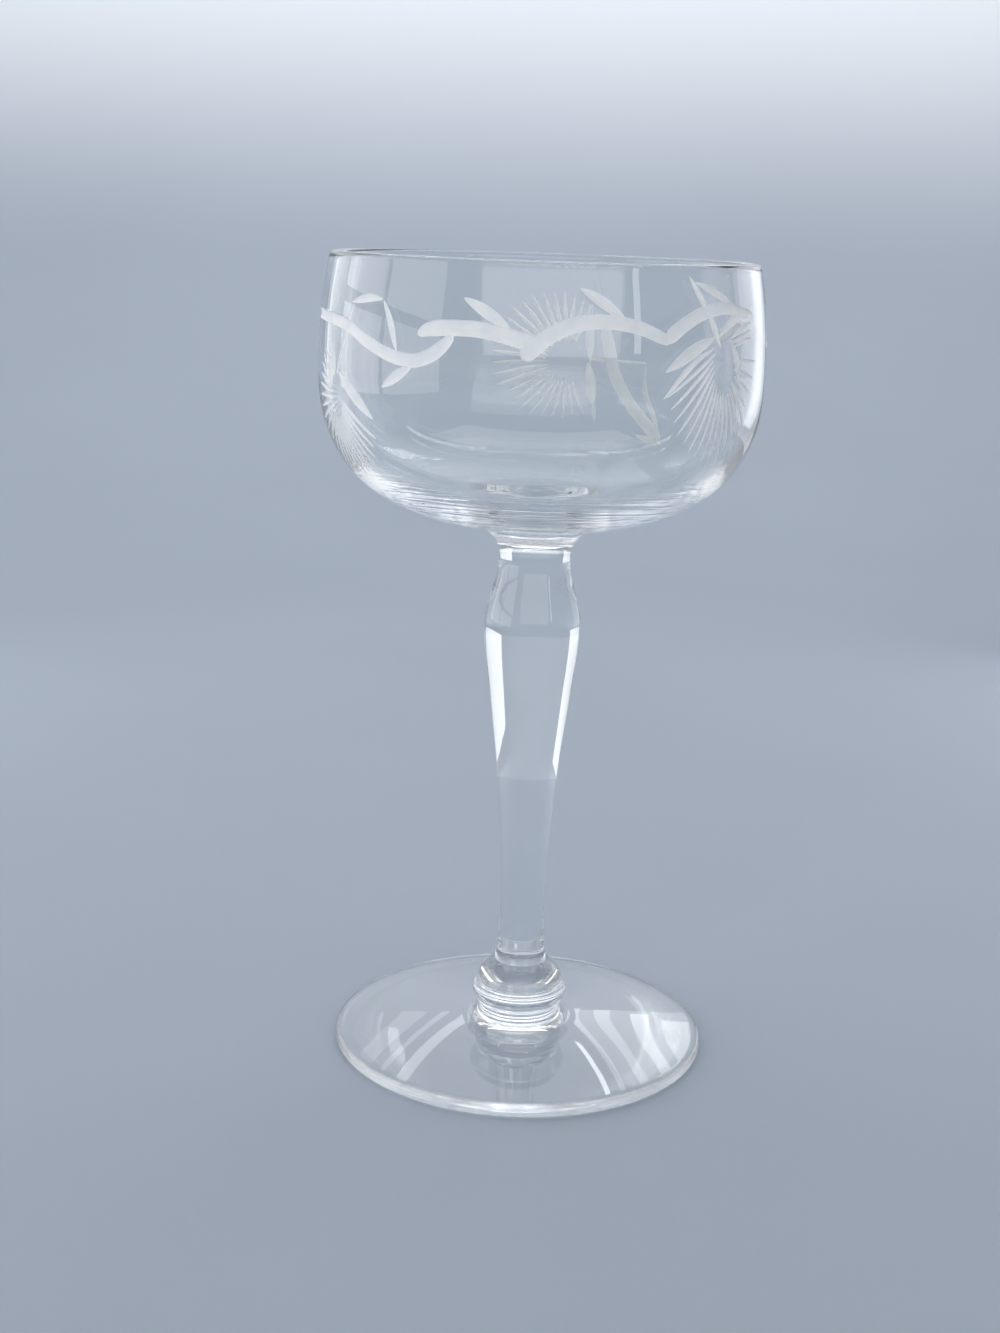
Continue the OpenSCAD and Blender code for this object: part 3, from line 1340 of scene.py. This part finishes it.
@dataclass
class Bowl(TurnedPiece):
    """Cup with a thick base, a melted rim and the cut garland. Sizes in millimetres."""

    neck_r: float = 6.7
    neck_h: float = 0.6
    blend_r: float = 15.0
    floor_h: float = 6.4
    wide_h: float = 36.0
    rim_r: float = 38.5
    wall_t: float = 1.8
    base_t: float = 3.3
    fullness: float = 2.6
    belly_steps: int = 56
    side_steps: int = 20

    def _belly(self, wide: Point, drop: float, from_r: float) -> list[Point]:
        """Curve of the belly.

        Args:
            wide: Radius and height of the widest place.
            drop: Depth of the curve below it.
            from_r: Radius at which the curve starts.

        Returns:
            The points, from the start up to the widest place.
        """
        start = math.acos((from_r / wide[0]) ** (self.fullness / 2))
        points = []
        for i in range(self.belly_steps + 1):
            a = start * (1 - i / self.belly_steps)
            points.append((wide[0] * math.cos(a) ** (2 / self.fullness),
                           wide[1] - drop * math.sin(a) ** (2 / self.fullness)))
        return points

    def _side(self, wide: Point, top: Point) -> list[Point]:
        """Works out the side above the widest place, up to the lip.

        Args:
            wide: Radius and height of the widest place.
            top: Radius and height at the lip.

        Returns:
            The points, without the widest one.
        """
        return [(wide[0] - (wide[0] - top[0]) * (i / self.side_steps) ** 2,
                 wide[1] + (top[1] - wide[1]) * i / self.side_steps)
                for i in range(1, self.side_steps + 1)]

    def _outside(self) -> list[Point]:
        """Works out the outside, from the blend above the neck up to the lip.

        Returns:
            The points.
        """
        low, high, radius = self.span()
        wide = (radius, low + self.wide_h)
        belly = self._belly(wide, self.wide_h - self.floor_h, self.blend_r)
        return belly + self._side(wide, (self.rim_r, high - self.wall_t / 2))

    def outline(self) -> Outline:
        """Works out the half-section of the bowl.

        Returns:
            The outline.
        """
        low, high, radius = self.span()
        outside = self._outside()
        neck = bend((self.neck_r, low + self.neck_h), (self.neck_r, low + self.floor_h),
                    outside[0], 20)
        half = self.wall_t / 2
        lip = arc((self.rim_r - half, high - half), (half, half), 12, 168, 13)
        inner = (radius - self.wall_t, low + self.wide_h)
        inside = self._belly(inner, self.wide_h - self.floor_h - self.base_t, 0.0)
        inside += self._side(inner, (self.rim_r - self.wall_t, high - half))
        points = [(0.0, low), (self.neck_r, low), *neck, *outside, *lip, *reversed(inside)]
        points[-1] = (0.0, points[-1][1])
        return Outline(np.array(points), (low,))

    def carve(self, piece: bpy.types.Object, ground: bpy.types.Material) -> None:
        """Cuts the garland into the outside."""
        Garland().carve(piece, Wall(np.array(self._outside())), ground)


# Studio


@dataclass
class SoftBox:
    """A soft lamp, out of the camera's sight.

    Attributes:
        name: Name of the lamp.
        place: Where its middle is, in metres.
        target: Where it points.
        size: Width and height in metres.
        glow: Brightness of its face, where 1 is white.
        panes: Number of panes across and up, with bars between them.
        bar: Width of the bars in metres.
        through: Whether it shows through the glass, beside its reflections.
        lean: Angle by which it leans to its left, which is the right as the camera sees it.
    """

    name: str
    place: Place
    target: Place
    size: Point
    glow: float
    panes: tuple[int, int] = (1, 1)
    bar: float = 0.03
    through: bool = True
    lean: float = 0.0

    def make(self) -> None:
        """Builds a lamp for each pane."""
        way = Vector(self.target) - Vector(self.place)
        turned = way.to_track_quat("-Z", "Y") @ Quaternion((0.0, 0.0, 1.0), math.radians(self.lean))
        wide, high = (length / count for length, count in zip(self.size, self.panes))
        bar = self.bar if self.panes != (1, 1) else 0.0
        for column in range(self.panes[0]):
            for row in range(self.panes[1]):
                shift = Vector(((column + 0.5) * wide - self.size[0] / 2,
                                (row + 0.5) * high - self.size[1] / 2, 0.0))
                self._pane(Vector(self.place) + turned @ shift, turned, (wide - bar, high - bar))

    def _pane(self, place: Vector, turned: Quaternion, size: Point) -> None:
        """Builds one lamp.

        Args:
            place: Middle of its face.
            turned: Way it faces.
            size: Width and height in metres.
        """
        data = bpy.data.lights.new(self.name, "AREA")
        data.shape = "RECTANGLE"
        data.size, data.size_y = size
        data.energy = self.glow * math.pi * size[0] * size[1]
        lamp = bpy.data.objects.new(self.name, data)
        lamp.location = place
        lamp.rotation_euler = turned.to_euler()
        lamp.visible_camera = False
        lamp.visible_transmission = self.through
        bpy.context.scene.collection.objects.link(lamp)


@dataclass
class Studio:
    """Pale floor and backdrop, soft lamps, even surroundings and the photograph's camera.

    Attributes:
        floor: Colour of the floor and the foot of the backdrop.
        backdrop_painted_light: Paler colour of the backdrop higher up, painted light that stands in
            for a brighter-lit upper backdrop.
        backdrop_painted_light_heights: Heights between which the backdrop turns to that painted
            light, in metres.
        surround: Colour of the surroundings.
        surround_strength: Strength of the surroundings.
        gap: Thin air gap between the floor and the ring that the glass stands on, in metres.
        focal_px: Focal length in pixels of the photograph.
        eye: Place of the camera in millimetres.
        pitch: Angle by which it looks down, in degrees.
        yaw: Angle by which it turns to the right.
        roll: Angle by which it leans to the left.
        axis_px: Pixel column of the photograph that the lens points at.
    """

    floor: Paint = (0.35, 0.395, 0.47)
    backdrop_painted_light: Paint = (0.82, 0.86, 0.91)
    backdrop_painted_light_heights: Point = (0.12, 0.36)
    surround: Paint = (0.94, 0.97, 1.0)
    surround_strength: float = 0.35
    gap: float = 0.00012
    focal_px: float = 1840.4
    eye: Place = (0.0, -336.6, 156.1)
    pitch: float = 13.624
    yaw: float = -0.393
    roll: float = 1.994
    axis_px: float = 518.5

    def _stage(self) -> None:
        """Builds the floor that curves up into a backdrop, with painted light that makes the backdrop
        paler higher up.
        """
        half, front, back, bend_r, top, steps = 1.6, -1.4, 1.1, 0.6, 1.7, 24
        line = [(front, 0.0), (0.0, 0.0), (back - bend_r, 0.0)]
        line += [(back - bend_r + bend_r * math.sin(a), bend_r - bend_r * math.cos(a))
                 for a in (math.pi / 2 * i / steps for i in range(1, steps + 1))]
        line.append((back, top))
        verts = [(x, y, z - self.gap) for y, z in line for x in (-half, half)]
        faces = [(2 * i, 2 * i + 1, 2 * i + 3, 2 * i + 2) for i in range(len(line) - 1)]
        mesh = bpy.data.meshes.new("studio_floor")
        mesh.from_pydata(verts, [], faces)
        mesh.polygons.foreach_set("use_smooth", [True] * len(faces))
        floor = bpy.data.objects.new("studio_floor", mesh)
        bpy.context.scene.collection.objects.link(floor)
        material, tree, paint = new_material("studio_paint")
        clouds, darker = 6.0, 0.97
        place = tree.place()
        shade = tree.remap(tree.noise(place, clouds), 0.3, 0.7)
        dark = tuple(darker * value for value in self.floor)
        low = tree.blend(shade, (*self.floor, 1.0), (*dark, 1.0))
        # Painted light: the backdrop turns from the floor colour to a paler colour higher up,
        # standing in for a brighter-lit upper backdrop
        high = tree.remap(tree.split(place)[2], *self.backdrop_painted_light_heights)
        tree.join(tree.blend(high, low, (*self.backdrop_painted_light, 1.0)), paint.inputs["Base Color"])
        paint.inputs["Roughness"].default_value = 0.7
        paint.inputs["Specular IOR Level"].default_value = 0.3
        mesh.materials.append(material)

    @staticmethod
    def _back_strip(name: str, low: Point, high: Point, width: float, glow: float,
                    far: float = 0.9) -> SoftBox:
        """Soft strip far behind the glass, which shows as a streak on the foot.

        Args:
            name: Name of the lamp.
            low: Place of its lower end, to the right and up, in metres.
            high: Place of its upper end.
            width: Width in metres.
            glow: Brightness of its face.
            far: Distance behind the glass in metres.

        Returns:
            The lamp.
        """
        across, up = high[0] - low[0], high[1] - low[1]
        middle = ((low[0] + high[0]) / 2, far, (low[1] + high[1]) / 2)
        return SoftBox(name, middle, (middle[0], 0.0, middle[2]), (width, math.hypot(across, up)),
                       glow, lean=math.degrees(math.atan2(across, up)))

    def _lamps(self) -> None:
        """Places the soft lamps."""
        aim = (0.0, 0.0, 0.08)
        boxes = (
            SoftBox("top_box", (0.0, 0.3, 1.4), aim, (1.5, 0.8), 1.3),
            SoftBox("front_box", (0.1, -1.25, 0.62), aim, (1.9, 1.0), 1.2),
            SoftBox("paned_box", (-0.7, -0.06, 0.312), (0.0, 0.0, 0.312), (1.0, 0.616), 1.6,
                    (2, 3), through=False),
            SoftBox("slit_box", (0.581, -0.55, 0.29), (0.0, 0.0, 0.29), (0.05, 0.26), 3.5,
                    through=False),
            SoftBox("side_box_left", (-0.311, 0.218, 0.173), (0.0, 0.0, 0.173),
                    (0.204, 0.336), 0.65),
            SoftBox("side_box_right", (0.278, 0.259, 0.179), (0.0, 0.0, 0.179),
                    (0.262, 0.324), 0.65),
            self._back_strip("streak_left_1", (-0.104, 0.43), (-0.157, 0.645), 0.018, 1.8),
            self._back_strip("streak_left_2", (-0.124, 0.4), (-0.177, 0.6), 0.007, 1.0),
            self._back_strip("streak_left_3", (-0.146, 0.39), (-0.197, 0.57), 0.02, 0.7),
            self._back_strip("veil_right", (0.146, 0.352), (0.201, 0.63), 0.107, 0.9, 0.92),
            self._back_strip("streak_right_1", (0.103, 0.34), (0.144, 0.64), 0.008, 1.3),
            self._back_strip("streak_right_2", (0.124, 0.345), (0.172, 0.62), 0.012, 1.2),
            self._back_strip("streak_right_3", (0.153, 0.355), (0.2, 0.6), 0.014, 1.8),
            self._back_strip("streak_right_4", (0.183, 0.37), (0.224, 0.58), 0.02, 1.5),
            self._back_strip("streak_thin", (0.112, 0.575), (0.126, 0.665), 0.007, 5.0),
            SoftBox("backdrop_wash", (0.0, 0.62, 1.0), (0.0, 1.1, 0.42), (1.6, 0.25), 3.5),
        )
        for box in boxes:
            box.make()

    def _surroundings(self) -> None:
        """Sets the even light from all round."""
        world = bpy.data.worlds.new("surroundings")
        world.use_nodes = True
        sky = world.node_tree.nodes["Background"]
        sky.inputs["Color"].default_value = (*self.surround, 1.0)
        sky.inputs["Strength"].default_value = self.surround_strength
        bpy.context.scene.world = world

    def _camera(self) -> None:
        """Sets the camera as the photograph was taken."""
        pitch, yaw, roll = (math.radians(a) for a in (self.pitch, self.yaw, self.roll))
        ahead = Vector((math.sin(yaw) * math.cos(pitch), math.cos(yaw) * math.cos(pitch),
                        -math.sin(pitch)))
        level = ahead.cross(Vector((0.0, 0.0, 1.0))).normalized()
        above = level.cross(ahead)
        right = level * math.cos(roll) + above * math.sin(roll)
        up = above * math.cos(roll) - level * math.sin(roll)
        sensor = 36.0
        data = bpy.data.cameras.new("photo_camera")
        data.sensor_fit = "AUTO"
        data.sensor_width = sensor
        data.lens = self.focal_px / PHOTO_H * sensor
        data.shift_x = -(self.axis_px - PHOTO_W / 2) / PHOTO_H
        data.clip_start = 0.01
        camera = bpy.data.objects.new("photo_camera", data)
        turned = Matrix((right, up, -ahead)).transposed()
        camera.matrix_world = Matrix.Translation(Vector(self.eye) * MM) @ turned.to_4x4()
        bpy.context.scene.collection.objects.link(camera)
        bpy.context.scene.camera = camera

    def make(self) -> None:
        """Builds the studio and sets how light is traced."""
        self._stage()
        self._lamps()
        self._surroundings()
        self._camera()
        scene = bpy.context.scene
        scene.view_settings.view_transform = "Standard"
        # Light passes through clear glass onto the floor and the cuts as sharply as it should
        scene.cycles.blur_glossy = 0.0
        scene.cycles.max_bounces = 40
        scene.cycles.transmission_bounces = 32
        scene.cycles.glossy_bounces = 32
        scene.cycles.transparent_max_bounces = 24


def main() -> None:
    """Builds the glass and the studio, and reports each piece."""
    logging.basicConfig(level=logging.INFO, format="%(name)s: %(message)s")
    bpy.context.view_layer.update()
    effects = SurfaceEffects()
    bowl_glass = PolishedGlass("bowl_clear", neck_rings=1.8).make(effects)
    stem_glass = PolishedGlass("stem_clear", wave_scale=90.0, ring_share=0.1,
                               specks=0.3).make(effects)
    foot_glass = PolishedGlass("foot_clear", wave_scale=60.0, specks=0.5, wear=0.2).make(effects)
    ground = GroundGlass().make(effects)
    seam = FusedSeam().make(effects)
    Foot("foot", "foot_glass").make(foot_glass, seam, ground)
    Collar("collar", "stem_glass").make(stem_glass, seam, ground)
    Knop("knop", "stem_glass").make(stem_glass, seam, ground)
    Stem("stem", "stem_glass").make(stem_glass, seam, ground)
    Bowl("bowl", "bowl_glass").make(bowl_glass, seam, ground)
    Studio().make()
    bpy.context.view_layer.update()


if __name__ == "__main__":
    main()
